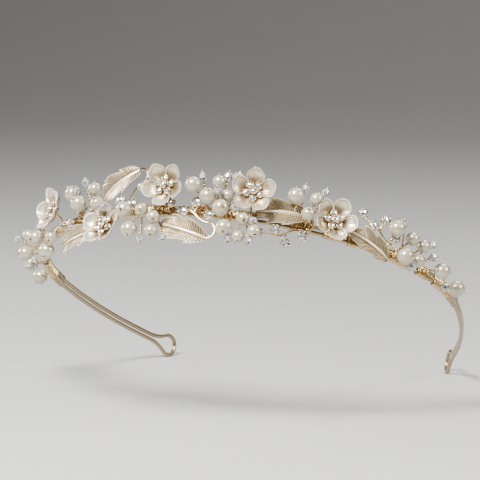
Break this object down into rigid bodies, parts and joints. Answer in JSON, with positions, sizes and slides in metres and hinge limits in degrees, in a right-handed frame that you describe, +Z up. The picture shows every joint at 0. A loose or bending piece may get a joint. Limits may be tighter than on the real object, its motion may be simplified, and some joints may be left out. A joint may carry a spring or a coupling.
{
  "type": "tiara",
  "caption": "Bridal hair band of bent gold wire with a loop at each end, bound with stamped flowers and leaves, stone-set vines, and sprays of pearls and crystals on twisted stems.",
  "frame": {"origin": "centre of the band's arc, in the plane that runs between its two wires, where the wearer's head sits", "axes": "+X to the viewer's right as the crown of the band faces the viewer, -Y out of the front, +Z up; the band's plane rises 28 degrees towards the front"},
  "size_m": [0.159, 0.1397, 0.0849],
  "materials": {
    "gold_wire": "polished pale gold plate",
    "binding_wire": "bright thin gold wire",
    "stone_settings": "bright gold plate",
    "ivory_metal": "matt champagne plate with brighter rims",
    "pearl": "ivory imitation pearl, soft lustre",
    "crystal": "clear faceted glass, foil backed"
  },
  "bodies": {
    "root": {"band_wire": "gold_wire", "left_ferrule": "gold_wire", "right_ferrule": "gold_wire", "binding_wire": "binding_wire", "flower_1_petals": "ivory_metal", "flower_1_setting": "stone_settings", "flower_1_stones": "crystal", "flower_2_petals": "ivory_metal", "flower_2_setting": "stone_settings", "flower_2_stones": "crystal", "flower_3_petals": "ivory_metal", "flower_3_setting": "stone_settings", "flower_3_stones": "crystal", "flower_4_petals": "ivory_metal", "flower_4_setting": "stone_settings", "flower_4_stones": "crystal", "flower_5_petals": "ivory_metal", "flower_5_setting": "stone_settings", "flower_5_stones": "crystal", "vine_1_leaf": "ivory_metal", "vine_1_wire": "stone_settings", "vine_1_stones": "crystal", "vine_2_leaf": "ivory_metal", "vine_2_wire": "stone_settings", "vine_2_stones": "crystal", "vine_3_leaf": "ivory_metal", "vine_3_wire": "stone_settings", "vine_3_stones": "crystal", "vine_4_leaf": "ivory_metal", "vine_4_wire": "stone_settings", "vine_4_stones": "crystal", "vine_5_leaf": "ivory_metal", "vine_5_wire": "stone_settings", "vine_5_stones": "crystal", "vine_6_leaf": "ivory_metal", "vine_6_wire": "stone_settings", "vine_6_stones": "crystal", "spray_1_pearls": "pearl", "spray_1_stems": "binding_wire", "spray_1_crystals": "crystal", "spray_2_pearls": "pearl", "spray_2_stems": "binding_wire", "spray_2_crystals": "crystal", "spray_3_pearls": "pearl", "spray_3_stems": "binding_wire", "spray_3_crystals": "crystal", "spray_4_pearls": "pearl", "spray_4_stems": "binding_wire", "spray_4_crystals": "crystal", "spray_5_pearls": "pearl", "spray_5_stems": "binding_wire", "spray_5_crystals": "crystal", "spray_6_pearls": "pearl", "spray_6_stems": "binding_wire", "spray_6_crystals": "crystal", "spray_7_pearls": "pearl", "spray_7_stems": "binding_wire", "spray_7_crystals": "crystal"}
  },
  "joints": []
}
